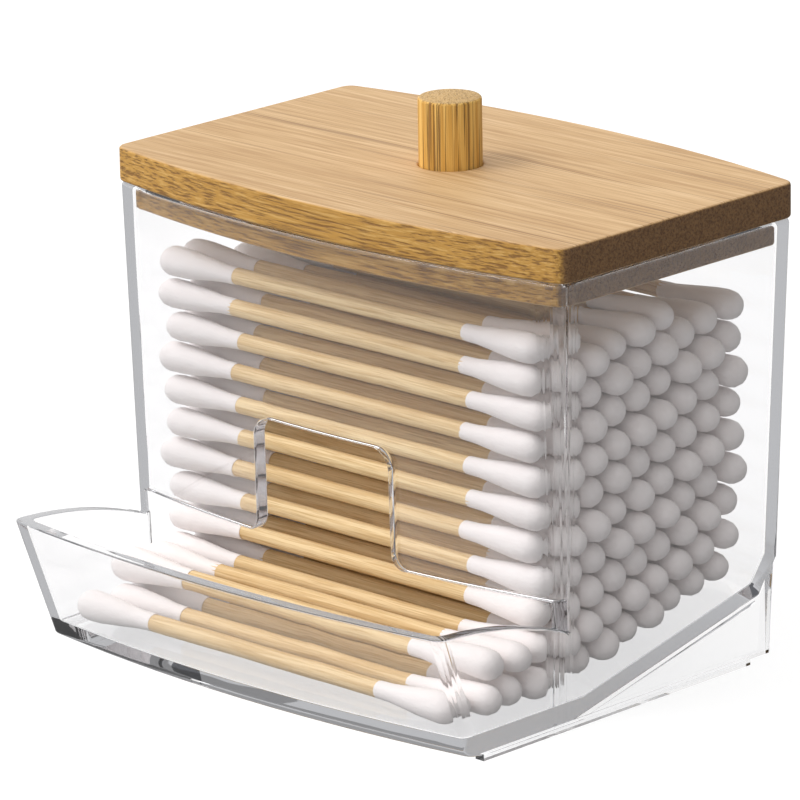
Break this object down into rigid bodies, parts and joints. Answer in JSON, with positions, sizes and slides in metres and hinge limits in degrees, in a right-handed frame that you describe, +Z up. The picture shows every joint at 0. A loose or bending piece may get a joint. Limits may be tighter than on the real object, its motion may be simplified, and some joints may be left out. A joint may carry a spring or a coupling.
{
  "type": "cotton swab holder",
  "caption": "Clear moulded cotton swab holder with a front tray and finger notch, a bamboo lid with a dowel knob, and a pile of bamboo swabs inside.",
  "frame": {"origin": "on the table, at the centre of the holder's bounding box seen from above", "axes": "+X along the swabs to the right, +Y from the tray to the back wall, +Z up"},
  "size_m": [0.0884, 0.0802, 0.0804],
  "materials": {
    "clear_plastic": "polished, clear",
    "bamboo_board": "sanded laminated bamboo, grain along X",
    "bamboo_dowel": "sanded bamboo dowel, grain upright",
    "bamboo_stick": "raw bamboo, grain lengthwise",
    "cotton": "soft spun cotton"
  },
  "bodies": {
    "holder": {"holder_body": "clear_plastic", "tray_sticks": "bamboo_stick", "tray_buds": "cotton", "swab_sticks_1": "bamboo_stick", "swab_sticks_2": "bamboo_stick", "swab_sticks_3": "bamboo_stick", "swab_sticks_4": "bamboo_stick", "swab_sticks_5": "bamboo_stick", "swab_sticks_6": "bamboo_stick", "swab_sticks_7": "bamboo_stick", "swab_sticks_8": "bamboo_stick", "swab_sticks_9": "bamboo_stick", "swab_buds_1": "cotton", "swab_buds_2": "cotton", "swab_buds_3": "cotton", "swab_buds_4": "cotton", "swab_buds_5": "cotton", "swab_buds_6": "cotton", "swab_buds_7": "cotton", "swab_buds_8": "cotton", "swab_buds_9": "cotton"},
    "lid": {"lid_board": "bamboo_board", "lid_knob": "bamboo_dowel"}
  },
  "joints": [
    {"name": "lid_lift", "type": "slide", "parent": "holder", "child": "lid", "axis": [0, 0, 1], "range_m": [0, 0.05]}
  ]
}
